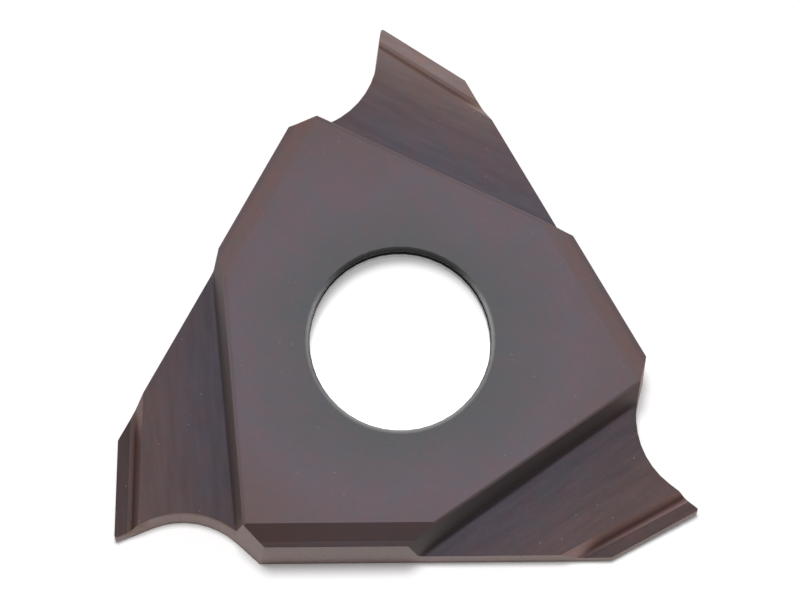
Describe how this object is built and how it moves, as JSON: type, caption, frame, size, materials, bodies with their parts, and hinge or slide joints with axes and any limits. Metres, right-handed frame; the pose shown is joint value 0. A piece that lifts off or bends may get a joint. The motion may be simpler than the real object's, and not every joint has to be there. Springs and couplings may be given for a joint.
{
  "type": "grooving insert",
  "caption": "Indexable triangular grooving insert with a stand-up tooth at each corner, a thin cutting blade along each tooth's flank and a countersunk screw hole through the middle.",
  "frame": {"origin": "on the screw hole's axis, in the plane of the exposed face", "axes": "+Z along the screw hole from the exposed face to the seat face, +Y towards the first tooth's cutting corner"},
  "size_m": [0.0137, 0.0127, 0.0032],
  "materials": {
    "coated_carbide": "matt bronze-violet hard coating on pressed and ground carbide"
  },
  "bodies": {
    "root": {"insert": "coated_carbide"}
  },
  "joints": []
}
